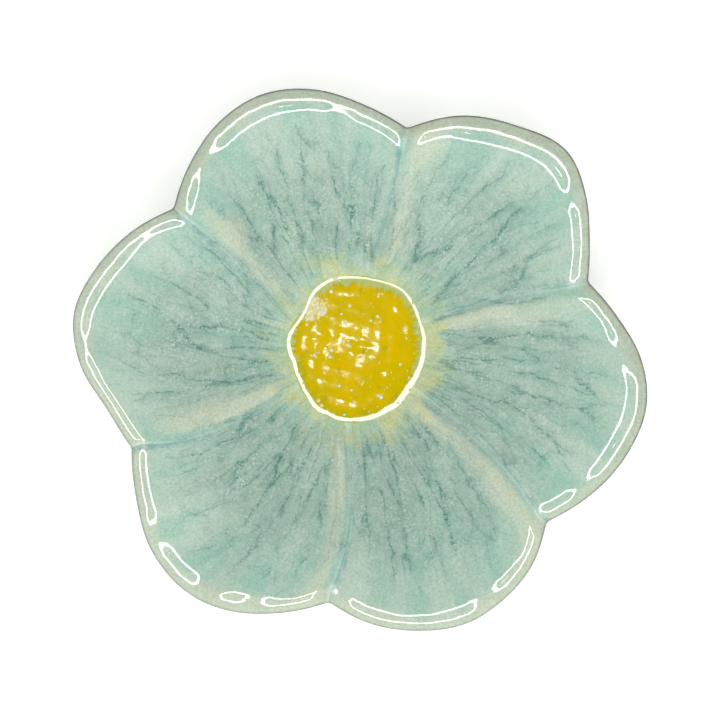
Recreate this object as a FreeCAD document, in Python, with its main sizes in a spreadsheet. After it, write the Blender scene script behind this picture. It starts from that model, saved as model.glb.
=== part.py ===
import FreeCAD, Part
import math
import os
import Sketcher

# Flower-shaped mixing palette in glazed stoneware: a flat base disc on a turned foot ring, six lapped
# petal slabs standing round it, a dipped glaze coat on each petal and a pool of glaze in the middle.
# Millimetres. The origin is on the axis of the well, on the table, with +Z up.

V = FreeCAD.Vector

SIZES = [
    ("petal_reach", 66.0),      # well axis to the crown of a full petal
    ("notch_depth", 10.0),      # how far a notch comes in from petal_reach
    ("rim_height", 24.4),       # table to the top of the rim at a crown
    ("rim_dip", 1.4),           # how much lower the rim is at a notch
    ("well_radius", 16.0),
    ("pool_depth", 1.4),        # at its edge
    ("pool_dip", 0.8),          # how much lower the pool is in its middle
    ("pool_flat_radius", 10.5),
    ("floor_thickness", 3.0),
    ("foot_height", 3.0),       # table to the underside of the base disc
    ("foot_radius", 28.0),      # to the middle of the foot's width
    ("foot_width", 5.0),
    ("foot_bevel", 0.8),
    ("foot_rise", 4.2),         # climb of the underside from the base disc to the glaze stop
    ("glaze_stop_gap", 0.5),    # bare clay left between the foot and the glaze
    ("glaze_coat", 0.5),
    ("rim_ease", 4.6),          # radius of the flattish top of the rim
    ("rim_turn", 22.0),         # how far the rim has turned down, in degrees, where its tighter edge starts
    ("rim_corner", 1.4),        # radius of that edge
    ("rim_under", 2.6),         # radius of the rim's underside
    ("ridge_height", 1.2),      # lapped edge above its own petal
    ("crease_depth", 0.35),
    ("lap_angle", 5.0),         # how far a petal reaches under the one that laps it
]

# One row for each petal, going anticlockwise. Each one owns the seam at its anticlockwise side, where
# its raised edge laps over the next petal.
# name, reach trim, crown angle, falls from the reach at a third and two thirds of the way from the
# clockwise notch to the crown, and from the crown to its own notch, notch trim, notch angle,
# seam angle at the well, seam bow
PETALS = [
    ("right", 0.9, -10.0, 4.6, 1.3, 2.3, 7.1, -0.6, 17.0, 24.0, 0.0),
    ("top_right", 0.1, 43.5, 7.2, 2.8, 3.1, 7.3, -3.5, 77.0, 77.6, -0.5),
    ("top_left", -3.9, 109.5, 6.0, 1.9, 1.4, 5.2, -3.2, 141.5, 152.0, -2.5),
    ("left", -1.7, 172.0, 6.7, 2.6, 2.0, 6.6, -1.0, 203.0, 210.4, 3.5),
    ("bottom_left", 0.4, 236.0, 6.7, 1.7, 1.8, 5.3, 0.9, 264.0, 264.1, 4.0),
    ("bottom", 0.2, 292.0, 4.7, 1.7, 0.9, 3.5, 1.9, 318.5, 325.3, 2.0),
]
FALLS = ["fall_at_clockwise_end", "fall_clockwise", "fall_anticlockwise", "fall_at_own_end"]
FIELDS = ["reach_trim", "crown_angle", *FALLS, "notch_trim", "notch_angle", "seam_root_angle", "seam_bow"]

# Stations across a petal, from its clockwise crease (0) to its own (1).
ACROSS = [0.0, 0.03, 0.08, 0.2, 0.35, 0.5, 0.65, 0.78, 0.88, 0.95, 0.98, 1.0]
# Stations up a petal, from the well (0) to the crest of the rim (CREST) and its outermost line (1), and
# stations under it, from the glaze stop (0) through the end of the flat part (BEND) to that line (1).
# Both are shares of the length along the surface.
CREST = 0.92
UP = [0.0, 0.08, 0.19, 0.32, 0.46, 0.6, 0.73, 0.82, 0.88, 0.9, CREST, 0.94, 0.96, 0.98, 1.0]
SPLIT = 3                       # row of UP that stands over the glaze stop
BEND = 0.9
UNDER = [0.0, 0.25, 0.5, 0.75, BEND, 0.93, 0.965, 1.0]
RIDGE_AT = 0.95                 # where across a petal its ridge is highest
RIDGE_TAIL = 0.16               # how far across the petal the ridge takes to die away
CREASE_OWN = 0.025              # width of the crease on the petal that laps, and on the one under it
CREASE_NEXT = 0.03
LAP_FADE = 0.12                 # the ridges and creases die away over this share of the slope, by the well
ROUNDS = 6                      # a slope between two arcs is found by repeating its sum this often


def make_sheet(doc):
    sheet = doc.addObject("Spreadsheet::Sheet", "Sizes")
    rows = list(SIZES)
    for petal in PETALS:
        rows += [(petal[0] + "_" + field, value) for field, value in zip(FIELDS, petal[1:])]
    for i, (alias, value) in enumerate(rows, 1):
        sheet.set("A%d" % i, alias)
        sheet.set("B%d" % i, str(value))
        sheet.setAlias("B%d" % i, alias)
    doc.recompute()
    return sheet


# ---------------------------------------------------------------- turned pieces

def turned_body(doc, name, points):
    """A body revolved about Z. Each corner of its outline is a pair of expressions, radius and height."""
    body = doc.addObject("PartDesign::Body", name)
    body.Label = name
    sketch = body.newObject("Sketcher::SketchObject", name + "_outline")
    plane = [f for f in body.Origin.OriginFeatures if f.Role == "XZ_Plane"][0]
    sketch.AttachmentSupport = (plane, [""])
    sketch.MapMode = "FlatFace"
    doc.recompute()
    at = [V(float(sketch.evalExpression(x)), float(sketch.evalExpression(z)), 0) for x, z in points]
    n = len(at)
    for i in range(n):
        sketch.addGeometry(Part.LineSegment(at[i], at[(i + 1) % n]), False)
    for i in range(n):
        sketch.addConstraint(Sketcher.Constraint("Coincident", i, 2, (i + 1) % n, 1))
    for i, (x, z) in enumerate(points):
        for kind, axis, word, expression, value in (("DistanceX", -2, "radius", x, at[i].x),
                                                    ("DistanceY", -1, "height", z, at[i].y)):
            if expression == "0":
                sketch.addConstraint(Sketcher.Constraint("PointOnObject", i, 1, axis))
                continue
            k = sketch.addConstraint(Sketcher.Constraint(kind, -1, 1, i, 1, value))
            sketch.renameConstraint(k, "%s_%d" % (word, i))
            sketch.setExpression("Constraints.%s_%d" % (word, i), expression)
    doc.recompute()
    turn = body.newObject("PartDesign::Revolution", name + "_turned")
    turn.Profile = sketch
    turn.ReferenceAxis = (sketch, ["V_Axis"])
    turn.Angle = 360.0
    body.Tip = turn
    doc.recompute()
    return body


def turned_pieces(doc):
    """The base disc, the foot ring under the petals and the pool of glaze."""
    top_of_floor = "Sizes.foot_height + Sizes.floor_thickness"
    disc = turned_body(doc, "base_disc", [
        ("0", "Sizes.foot_height"), ("Sizes.well_radius", "Sizes.foot_height"),
        ("Sizes.well_radius", top_of_floor), ("0", top_of_floor)])
    inner, outer = "Sizes.foot_radius - Sizes.foot_width / 2", "Sizes.foot_radius + Sizes.foot_width / 2"
    under = ("Sizes.foot_height + Sizes.foot_rise * (%s - Sizes.well_radius)"
             " / (" + outer + " + Sizes.glaze_stop_gap - Sizes.well_radius)")
    ring = turned_body(doc, "foot_ring", [
        (inner + " + Sizes.foot_bevel", "0"), (outer + " - Sizes.foot_bevel", "0"),
        (outer, "Sizes.foot_bevel"), (outer, under % ("(" + outer + ")")),
        (inner, under % ("(" + inner + ")")), (inner, "Sizes.foot_bevel")])
    surface = top_of_floor + " + Sizes.pool_depth"
    pool = turned_body(doc, "centre_glaze", [
        ("0", top_of_floor), ("Sizes.well_radius", top_of_floor), ("Sizes.well_radius", surface),
        ("Sizes.pool_flat_radius", surface + " - Sizes.pool_dip"), ("0", surface + " - Sizes.pool_dip")])
    return [disc, ring, pool]


# ---------------------------------------------------------------- petals

class Bowl:
    """The sizes of the bowl, read from the sheet, and its surfaces as functions of petal and station."""

    def __init__(self, sheet):
        self.__dict__.update({alias: float(sheet.get(alias)) for alias, _ in SIZES})
        self.level = self.foot_height + self.floor_thickness + self.pool_depth
        self.stop_radius = self.foot_radius + self.foot_width / 2 + self.glaze_stop_gap
        self.stop_height = self.foot_height + self.foot_rise
        turn = math.radians(self.rim_turn)
        self.corner_in = (self.rim_ease - self.rim_corner) * math.sin(turn)
        self.rim_inset = self.corner_in + self.rim_corner
        self.corner_down = self.rim_ease - (self.rim_ease - self.rim_corner) * math.cos(turn)
        self.petals = [{f: float(sheet.get(p[0] + "_" + f)) for f in FIELDS} for p in PETALS]
        for i, petal in enumerate(self.petals):
            petal["before"] = self.petals[i - 1] if i else self.turned_back(self.petals[-1])
            petal["outline"] = self.outline(petal)

    @staticmethod
    def turned_back(petal):
        """The last petal as the first one's neighbour, so that angles run upwards from it."""
        turned = dict(petal)
        for field in ("crown_angle", "notch_angle", "seam_root_angle"):
            turned[field] = petal[field] - 360.0
        return turned

    def outline(self, petal):
        """Curve of (angle, radius) from notch to crown to notch, through two shoulders on each side."""
        before = petal["before"]
        start, crown, end = before["notch_angle"], petal["crown_angle"], petal["notch_angle"]
        reach = self.petal_reach + petal["reach_trim"]
        first = self.petal_reach - self.notch_depth + before["notch_trim"]
        last = self.petal_reach - self.notch_depth + petal["notch_trim"]
        up, down = (crown - start) / 3, (end - crown) / 3
        angles = [start, start + up, start + 2 * up, crown, crown + down, crown + 2 * down, end]
        falls = [reach - petal[fall] for fall in FALLS]
        radii = [first, falls[0], falls[1], reach, falls[2], falls[3], last]
        petal.update(start=start, end=end, reach=reach, first=first, last=last)
        curve = Part.BSplineCurve()
        curve.interpolate(Points=[V(a, r, 0) for a, r in zip(angles, radii)], Parameters=angles)
        return curve

    def seam_angle(self, petal, t):
        """Angle of the seam that a petal owns, at share t of the way from the well to the crest."""
        root, end = petal["seam_root_angle"], petal["notch_angle"]
        return root + (end - root) * t + petal["seam_bow"] * 4 * t * (1 - t)

    def angle(self, petal, u, t):
        first, last = self.seam_angle(petal["before"], t), self.seam_angle(petal, t)
        return first + (last - first) * u

    def rim(self, petal, u):
        """Radius of the crest and height of the rim where station u reaches it."""
        angle = petal["start"] + (petal["end"] - petal["start"]) * u
        radius = petal["outline"].value(angle).y
        notch = petal["first"] if angle < petal["crown_angle"] else petal["last"]
        dip = self.rim_dip * max(0.0, min(1.0, (petal["reach"] - radius) / (petal["reach"] - notch)))
        return radius - self.rim_inset, self.rim_height - dip

    def lap(self, u, t):
        """Height of the ridge, less the depth of the creases, at a station."""
        if u > RIDGE_AT:
            ridge = math.sin(math.pi / 2 * (1 - u) / (1 - RIDGE_AT)) ** 2
        else:
            ridge = math.exp(-((RIDGE_AT - u) / RIDGE_TAIL) ** 2)
        crease = math.exp(-((1 - u) / CREASE_OWN) ** 2) + math.exp(-(u / CREASE_NEXT) ** 2)
        return min(1.0, t / LAP_FADE) * (self.ridge_height * ridge - self.crease_depth * crease)

    def top(self, petal, u, w, depth):
        """A point of the upper surface, or of the surface at a depth under it."""
        crest, height = self.rim(petal, u)
        up = min(1.0, w / CREST)
        angle = math.radians(self.angle(petal, u, up))
        length, rise = crest - self.well_radius, height - self.level
        slope = math.atan2(rise, length)
        for _ in range(ROUNDS):
            slope = math.atan2(rise - self.rim_ease * (1 - math.cos(slope)),
                               length - self.rim_ease * math.sin(slope))
        if w <= CREST:
            ease, s = self.rim_ease - depth, (1 - up) * length
            if s < ease * math.sin(slope):
                drop = ease - math.sqrt(ease ** 2 - s ** 2)
            else:
                drop = ease * (1 - math.cos(slope)) + (s - ease * math.sin(slope)) * math.tan(slope)
            radius, z, share = crest - s, height - depth - drop, 1.0
        else:
            past, turn = 2 * (w - CREST) / (1 - CREST), math.radians(self.rim_turn)
            if past <= 1:
                roll, bend, middle, level = past * turn, self.rim_ease, crest, height - self.rim_ease
            else:
                roll, bend = turn + (past - 1) * (math.pi / 2 - turn), self.rim_corner
                middle, level = crest + self.corner_in, height - self.corner_down
            radius = middle + (bend - depth) * math.sin(roll)
            z = level + (bend - depth) * math.cos(roll)
            share = math.cos(roll)
        if w == 0:
            z = self.level - depth              # the coat ends level with the pool
        return V(radius * math.cos(angle), radius * math.sin(angle), z + share * self.lap(u, up))

    def under(self, petal, u, w, depth):
        """A point of the underside, between the glaze stop and the outermost line of the rim."""
        crest, height = self.rim(petal, u)
        middle, level = crest + self.rim_inset - self.rim_under, height - self.corner_down
        round_, skin = self.rim_under - self.glaze_coat, self.glaze_coat - depth
        slope = math.atan2(level - round_ - self.stop_height, middle - self.stop_radius)
        for _ in range(ROUNDS):
            slope = math.atan2(level - round_ * math.cos(slope) - self.stop_height,
                               middle + round_ * math.sin(slope) - self.stop_radius)
        lift = skin / math.cos(slope)
        if w > BEND:
            turn = (1 - w) / (1 - BEND) * (math.pi / 2 - slope)
            radius = middle + (round_ + skin) * math.cos(turn)
            z = level - (round_ + skin) * math.sin(turn)
        else:
            end = middle + (round_ + skin) * math.sin(slope), level - (round_ + skin) * math.cos(slope)
            radius = self.stop_radius + (end[0] - self.stop_radius) * w / BEND
            z = self.stop_height - lift + (end[1] - self.stop_height + lift) * w / BEND
        t = min(1.0, (radius - self.well_radius) / (crest - self.well_radius))
        angle = math.radians(self.angle(petal, u, t) - self.lap_angle * 4 * t * (1 - t))
        return V(radius * math.cos(angle), radius * math.sin(angle), z)

    def root(self, petal, u):
        """A point of the lower edge where a petal meets the base disc."""
        angle = math.radians(self.angle(petal, u, 0))
        return V(self.well_radius * math.cos(angle), self.well_radius * math.sin(angle), self.foot_height)


def through(points, stations):
    curve = Part.BSplineCurve()
    curve.interpolate(Points=points, Parameters=stations)
    return curve


def skin(rows, across, up):
    """One smooth surface through a grid of points."""
    lines = [through(row, across) for row in rows]
    poles = [line.getPoles() for line in lines]
    columns = [through([row[i] for row in poles], up) for i in range(len(poles[0]))]
    surface = Part.BSplineSurface()
    surface.buildFromPolesMultsKnots(
        [c.getPoles() for c in columns], lines[0].getMultiplicities(), columns[0].getMultiplicities(),
        lines[0].getKnots(), columns[0].getKnots(), False, False, lines[0].Degree, columns[0].Degree)
    return surface


def part_of(surface, first, last):
    piece = surface.copy()
    piece.segment(0.0, 1.0, first, last)
    return piece


def edges(surface):
    """The four boundary curves of a surface: both sides, then the first and the last row."""
    u0, u1, v0, v1 = surface.bounds()
    return [surface.uIso(u0).toShape(), surface.uIso(u1).toShape(),
            surface.vIso(v0).toShape(), surface.vIso(v1).toShape()]


def closed_solid(faces, name):
    shell = Part.Shell(faces)
    shell.sewShape()
    solid = Part.Solid(shell)
    if solid.Volume < 0:
        solid.reverse()
    if not solid.isValid() or solid.isNull() or not solid.isClosed():
        raise ValueError(name + " isn't a closed solid")
    return solid


def feature(doc, name, solid):
    made = doc.addObject("Part::Feature", name)
    made.Label = name
    made.Shape = solid
    made.Placement = FreeCAD.Placement()
    return made


def petal_pieces(doc, bowl, name, petal):
    """The clay slab of one petal, and the coat of glaze that wraps it from the well to the glaze stop."""
    clay_top = skin([[bowl.top(petal, u, w, bowl.glaze_coat) for u in ACROSS] for w in UP], ACROSS, UP)
    clay_under = skin([[bowl.under(petal, u, w, bowl.glaze_coat) for u in ACROSS] for w in UNDER],
                      ACROSS, UNDER)
    glaze_top = skin([[bowl.top(petal, u, w, 0.0) for u in ACROSS] for w in UP], ACROSS, UP)
    glaze_under = skin([[bowl.under(petal, u, w, 0.0) for u in ACROSS] for w in UNDER], ACROSS, UNDER)

    inner, outer = part_of(clay_top, UP[0], UP[SPLIT]), part_of(clay_top, UP[SPLIT], UP[-1])
    root = through([bowl.root(petal, u) for u in ACROSS], ACROSS).toShape()
    stop = edges(clay_under)[2]
    band = Part.makeRuledSurface(root, stop)
    foot = Part.makeRuledSurface(edges(inner)[2], root)
    faces = [inner.toShape(), outer.toShape(), clay_under.toShape(), band, foot]
    for k, u in enumerate((0.0, 1.0)):
        side = Part.makeLine(bowl.root(petal, u), bowl.under(petal, u, 0.0, bowl.glaze_coat))
        faces.append(Part.makeRuledSurface(edges(inner)[k], side))
        faces.append(Part.makeRuledSurface(edges(outer)[k], edges(clay_under)[k]))
    clay = feature(doc, "petal_" + name, closed_solid(faces, "petal_" + name))

    faces = [clay_top.toShape(), clay_under.toShape(), glaze_top.toShape(), glaze_under.toShape()]
    for outside, inside in ((glaze_top, clay_top), (glaze_under, clay_under)):
        faces += [Part.makeRuledSurface(edges(outside)[k], edges(inside)[k]) for k in (0, 1, 2)]
    coat = feature(doc, "glaze_" + name, closed_solid(faces, "glaze_" + name))
    return [clay, coat]


def main():
    doc = FreeCAD.newDocument("mixing_palette")
    sheet = make_sheet(doc)
    pieces = turned_pieces(doc)
    bowl = Bowl(sheet)
    for (name, *_), petal in zip(PETALS, bowl.petals):
        pieces += petal_pieces(doc, bowl, name, petal)
    doc.recompute()
    for thing in doc.Objects:
        if "Invalid" in thing.State or "Error" in thing.State:
            raise ValueError(thing.Label + " has an error")
    os.makedirs("parts", exist_ok=True)
    for piece in pieces:
        if piece.Shape.isNull() or not piece.Shape.isValid() or not piece.Shape.Solids:
            raise ValueError(piece.Label + " has no valid solid")
        piece.Shape.exportStep("parts/%s.step" % piece.Label)
        box = piece.Shape.BoundBox
        print("%-20s %8.1f mm3  x %.1f..%.1f  y %.1f..%.1f  z %.2f..%.2f" % (
            piece.Label, piece.Shape.Volume, box.XMin, box.XMax, box.YMin, box.YMax, box.ZMin, box.ZMax))


main()
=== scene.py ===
"""Looks of a flower-shaped mixing palette: clay petals under an aqua glaze, round a yellow pool.

Every surface is worked out from a few sizes in millimetres, round the axis of the well, and written
to its mesh in metres. The plan of the petals is the CAD model's.
"""
import logging
import math
from collections.abc import Callable
from dataclasses import dataclass
from enum import Enum

import bpy
import numpy as np
from mathutils import Matrix, Vector


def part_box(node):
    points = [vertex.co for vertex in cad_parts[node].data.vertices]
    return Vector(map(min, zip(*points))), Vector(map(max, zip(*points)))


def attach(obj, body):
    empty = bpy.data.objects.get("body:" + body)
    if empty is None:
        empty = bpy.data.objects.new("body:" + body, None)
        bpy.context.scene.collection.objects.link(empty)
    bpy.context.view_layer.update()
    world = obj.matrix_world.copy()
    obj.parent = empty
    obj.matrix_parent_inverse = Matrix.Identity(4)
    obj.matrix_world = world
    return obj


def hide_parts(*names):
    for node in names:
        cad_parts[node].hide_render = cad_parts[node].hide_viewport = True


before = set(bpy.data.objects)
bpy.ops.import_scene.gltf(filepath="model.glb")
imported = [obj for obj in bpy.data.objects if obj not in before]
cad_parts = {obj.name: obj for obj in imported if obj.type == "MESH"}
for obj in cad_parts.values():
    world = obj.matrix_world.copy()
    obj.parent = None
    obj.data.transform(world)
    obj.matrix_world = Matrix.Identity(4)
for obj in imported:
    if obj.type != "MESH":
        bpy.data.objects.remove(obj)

LOG = logging.getLogger("palette")
MM = 0.001
DEGREES_PER_RADIAN = 57.3

Socket = bpy.types.NodeSocket
Value = Socket | float
Triple = Socket | tuple[float, float, float]
Colour = tuple[float, float, float, float]
Rows = dict[str, np.ndarray]


class Slot(Enum):
    """The record's material slots."""

    CLAY = "bare_clay"
    GLAZE = "petal_glaze"
    POOL = "pool_glaze"


# ------------------------------------------------------------------ plan and sizes

@dataclass(frozen=True)
class Petal:
    """The plan of one petal, in millimetres and degrees anticlockwise from the right.

    Its anticlockwise edge is its own seam, where its raised edge laps over the next petal. The
    falls are how much nearer than the reach its outline is, at a third and two thirds of the way up
    to the crown and down to its own notch.
    """

    name: str
    reach: float
    crown: float
    falls: tuple[float, float, float, float]
    notch_radius: float
    notch: float
    seam_root: float
    seam_bow: float
    ridge_at_rim: float


@dataclass(frozen=True)
class Sizes:
    """The sizes of the bowl's section, in millimetres, except where degrees are named.

    The pairs are widths at the root, and how much wider at the rim. The blends are how far in and
    out the petals' slope would be rounded at the edge of the well, at a spread of 1.
    """

    rim_height: float = 23.9
    rim_dip: float = 1.4
    rim_turn_degrees: float = 22.0
    rim_corner: float = 1.4
    rim_under: float = 2.6
    pool_height: float = 6.6
    blend_in: float = 4.9
    blend_out: float = 3.1
    coat: float = 0.5
    root_radius: float = 16.0
    root_height: float = 3.0
    base_thickness: float = 3.0
    stop_radius: float = 31.0
    stop_height: float = 7.2
    lap_degrees: float = 5.0
    ridge: float = 0.9
    ridge_top: tuple[float, float] = (1.8, 2.4)
    ridge_tail: tuple[float, float] = (2.5, 3.5)
    crease: float = 0.3
    own_crease: tuple[float, float] = (0.55, 0.35)
    other_crease: tuple[float, float] = (0.6, 0.5)


PETALS = (
    Petal("right", 66.9, -10.0, (4.6, 1.3, 2.3, 7.1), 55.0, 17.0, 24.0, 0.0, 1.0),
    Petal("top_right", 66.1, 43.5, (7.2, 2.8, 3.1, 7.3), 52.1, 77.0, 77.6, -0.5, 1.0),
    Petal("top_left", 62.1, 109.5, (6.0, 1.9, 1.4, 5.2), 52.4, 141.5, 152.0, -2.5, 0.35),
    Petal("left", 64.3, 172.0, (6.7, 2.6, 2.0, 6.6), 55.0, 203.0, 210.4, 3.5, 0.15),
    Petal("bottom_left", 66.4, 236.0, (6.7, 1.7, 1.8, 5.3), 56.9, 264.0, 264.1, 4.0, 0.9),
    Petal("bottom", 66.2, 292.0, (4.7, 1.7, 0.9, 3.5), 57.9, 318.5, 325.3, 2.0, 1.2),
)

# The hand-rolled rim rises or sinks here and there: (degrees, length of the slope in degrees, mm).
RIM_STEPS = ((35.8, 7.0, 1.35), (93.5, 9.0, -1.6), (127.5, 13.0, 2.75), (151.5, 15.0, -2.75),
             (178.5, 9.0, 1.75), (222.2, 10.5, -3.0), (238.5, 8.5, 2.1), (247.7, 7.0, -1.05),
             (267.3, 4.2, 0.85), (298.0, 9.0, -2.0), (330.0, 8.0, 1.45), (359.5, 11.5, -2.5))
# How broadly the rim is rounded over its crest: (degrees, radius in mm).
RIM_EASES = ((7.0, 7.2), (25.0, 5.2), (45.0, 8.4), (65.0, 8.4), (84.0, 5.5), (110.0, 7.2),
             (138.0, 6.5), (160.0, 6.3), (172.0, 5.6), (190.0, 4.3), (212.0, 4.3), (231.0, 6.5),
             (243.5, 7.0), (254.0, 4.8), (265.0, 5.5), (280.0, 4.3), (291.0, 5.6), (306.0, 6.0),
             (324.0, 5.6), (338.0, 6.8), (352.0, 6.8))

# The well's hand-cut edge isn't quite round: (degrees, radius in mm).
WELL_EDGE = ((0.0, 15.8), (35.0, 16.8), (51.0, 17.7), (70.0, 17.2), (97.0, 17.3), (112.0, 17.5),
             (127.0, 16.9), (144.0, 15.4), (158.0, 15.9), (174.0, 16.0), (191.0, 14.9),
             (208.0, 15.2), (224.0, 15.8), (242.0, 16.3), (259.0, 16.7), (279.0, 16.4),
             (306.0, 15.7), (329.0, 15.2), (345.0, 15.6))

# Humps and dents of the pool in mm: (height, middle and half width across, the same lengthwise).
POOL_HUMPS = ((0.05, 0.8, 3.4, 0.8, 1.1), (-0.09, -3.6, 1.8, -2.0, 1.3),
              (0.07, 5.2, 1.2, -5.0, 0.9), (0.05, -7.4, 1.0, 3.2, 1.2))


def smooth(x: np.ndarray) -> np.ndarray:
    """Eases from 0 to 1 as x goes from 0 to 1."""
    x = np.clip(x, 0.0, 1.0)
    return x * x * (3.0 - 2.0 * x)


def bell(x: np.ndarray) -> np.ndarray:
    """A bell curve, 1 at 0."""
    return np.exp(-(x ** 2))


class Bowl:
    """The surfaces of the bowl, as functions of petal, station across it and station up it."""

    SAMPLES = 1440
    PETAL_SAMPLES = 160
    SOLVER_STEPS = 6

    def __init__(self, sizes: Sizes, petals: tuple[Petal, ...]) -> None:
        """Works out the outline, the rim and the well's edge at every sampled angle.

        Args:
            sizes: The sizes of the section.
            petals: The plan, anticlockwise from the right.
        """
        self.sizes = sizes
        self.petals = petals
        self.angles = np.arange(self.SAMPLES) * 360.0 / self.SAMPLES
        self.radii, self.dips = self._outline()
        self.rises = self._rises()
        places, radii = np.array(RIM_EASES).T
        edges, wells = np.array(WELL_EDGE).T
        self.wells = soften(np.interp(self.angles, edges, wells, period=360.0), 18)
        self.eases = soften(np.interp(self.angles, places, radii, period=360.0), 8)

    def previous(self, index: int) -> tuple[Petal, float]:
        """The petal clockwise of one, and the whole turn to add to its angles."""
        return self.petals[index - 1], -360.0 if index == 0 else 0.0

    def _outline(self) -> tuple[np.ndarray, np.ndarray]:
        """Radius of the outline, and dip of the rim, at every sampled angle.

        Returns:
            The radii and the dips, in millimetres.
        """
        angles, radii, dips = [], [], []
        for index, petal in enumerate(self.petals):
            before, turn = self.previous(index)
            start = before.notch + turn
            up, down = (petal.crown - start) / 3, (petal.notch - petal.crown) / 3
            knots = [start, start + up, start + 2 * up, petal.crown, petal.crown + down,
                     petal.crown + 2 * down, petal.notch]
            sides = [petal.reach - fall for fall in petal.falls]
            values = [before.notch_radius, *sides[:2], petal.reach, *sides[2:], petal.notch_radius]
            at = np.linspace(start, petal.notch, self.PETAL_SAMPLES, endpoint=False)
            radius = hermite(np.array(knots), np.array(values), at)
            notch = np.where(at < petal.crown, before.notch_radius, petal.notch_radius)
            angles.append(at)
            radii.append(radius)
            sunk = np.clip((petal.reach - radius) / (petal.reach - notch), 0, 1)
            dips.append(self.sizes.rim_dip * sunk)
        order = np.argsort(np.concatenate(angles) % 360.0)
        where = (np.concatenate(angles) % 360.0)[order]
        radius = np.interp(self.angles, where, np.concatenate(radii)[order], period=360.0)
        dip = np.interp(self.angles, where, np.concatenate(dips)[order], period=360.0)
        return soften(radius, 3), soften(dip, 9)

    def outline(self, degrees: np.ndarray) -> np.ndarray:
        """Radius of the outline in millimetres."""
        return np.interp(degrees % 360.0, self.angles, self.radii, period=360.0)

    def rim_height(self, degrees: np.ndarray) -> np.ndarray:
        """Height of the top of the rim, without its small rises."""
        dip = np.interp(degrees % 360.0, self.angles, self.dips, period=360.0)
        return self.sizes.rim_height - dip

    def _rises(self) -> np.ndarray:
        """The small rises and falls of the rim, with no slow drift, at every sampled angle.

        Returns:
            The rises in millimetres.
        """
        level = -self.angles * sum(rise for _, _, rise in RIM_STEPS) / 360.0
        for where, length, rise in RIM_STEPS:
            for turn in (-360.0, 0.0, 360.0):
                share = smooth((self.angles - where - turn) / length + 0.5)
                level = level + rise * share - rise * (turn < 0)
        return level - soften(level, 90)

    def rim_rise(self, degrees: np.ndarray) -> np.ndarray:
        """How far the rim stands above or below its usual height."""
        return np.interp(degrees % 360.0, self.angles, self.rises, period=360.0)

    def rim_round(self, degrees: np.ndarray) -> tuple[np.ndarray, np.ndarray, np.ndarray]:
        """The radius that rounds the crest, and where its outer corner lies from the crest.

        Args:
            degrees: Angles round the rim.

        Returns:
            The radius, the distance out and the distance down.
        """
        ease = np.interp(degrees % 360.0, self.angles, self.eases, period=360.0)
        turn = math.radians(self.sizes.rim_turn_degrees)
        broad = ease - self.sizes.rim_corner
        return ease, broad * math.sin(turn), ease - broad * math.cos(turn)

    def well_edge(self, degrees: np.ndarray) -> np.ndarray:
        """Radius of the edge of the well in millimetres."""
        return np.interp(degrees % 360.0, self.angles, self.wells, period=360.0)

    @staticmethod
    def spread(degrees: np.ndarray) -> np.ndarray:
        """How gently the petals run into the pool: broad at the lower right, tight at the top.

        Args:
            degrees: Angles round the well.

        Returns:
            The share of the full blend.
        """
        t = np.radians(degrees)
        broad, tight = bell(np.sin((t + 0.80) / 2) / 0.28), bell(np.sin((t - 1.2) / 2) / 0.35)
        return 0.47 + 0.24 * broad - 0.17 * tight

    def seam(self, petal: Petal, t: np.ndarray, turn: float) -> np.ndarray:
        """Angle of a petal's own seam at share t of the way from the well to the crest."""
        straight = petal.seam_root + (petal.notch - petal.seam_root) * t
        return straight + petal.seam_bow * 4 * t * (1 - t) + turn

    def angle(self, index: int, u: np.ndarray, t: np.ndarray) -> tuple[np.ndarray, np.ndarray]:
        """Angle at a station, and the petal's width there, both in degrees.

        Args:
            index: Number of the petal.
            u: Share of the way across it.
            t: Share of the way from the well to the crest.

        Returns:
            The angle and the width.
        """
        before, turn = self.previous(index)
        first = self.seam(before, t, turn)
        width = self.seam(self.petals[index], t, 0.0) - first
        return first + width * u, width

    def section(self, index: int, u: np.ndarray) -> Rows:
        """The sizes of the sections at stations u: crest, rim, well edge, slope and spread.

        Args:
            index: Number of the petal.
            u: Share of the way across it.

        Returns:
            Each size by its name.
        """
        before, turn = self.previous(index)
        at_rim = before.notch + turn + (self.petals[index].notch - before.notch - turn) * u
        ease, corner_in, corner_down = self.rim_round(at_rim)
        outline = self.outline(at_rim)
        crest = outline - corner_in - self.sizes.rim_corner
        rise_here = self.rim_rise(at_rim)
        height = self.rim_height(at_rim) + rise_here
        root, _ = self.angle(index, u, np.zeros_like(u))
        well = self.well_edge(root)
        gentle = self.spread(root)
        inner, outer = self.sizes.blend_in * gentle, self.sizes.blend_out * gentle
        length, rise = crest - well, height - self.sizes.pool_height
        slope = np.arctan2(rise, length)
        for _ in range(self.SOLVER_STEPS):
            slope = np.arctan2(rise - ease * (1 - np.cos(slope)),
                               length + (inner - outer) / 2 - ease * np.sin(slope))
        return {"crest": crest, "outline": outline, "height": height, "rise": rise_here,
                "root": root, "well": well, "inner": inner, "outer": outer, "length": length,
                "slope": slope, "ease": ease, "corner_in": corner_in, "corner_down": corner_down}

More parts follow.
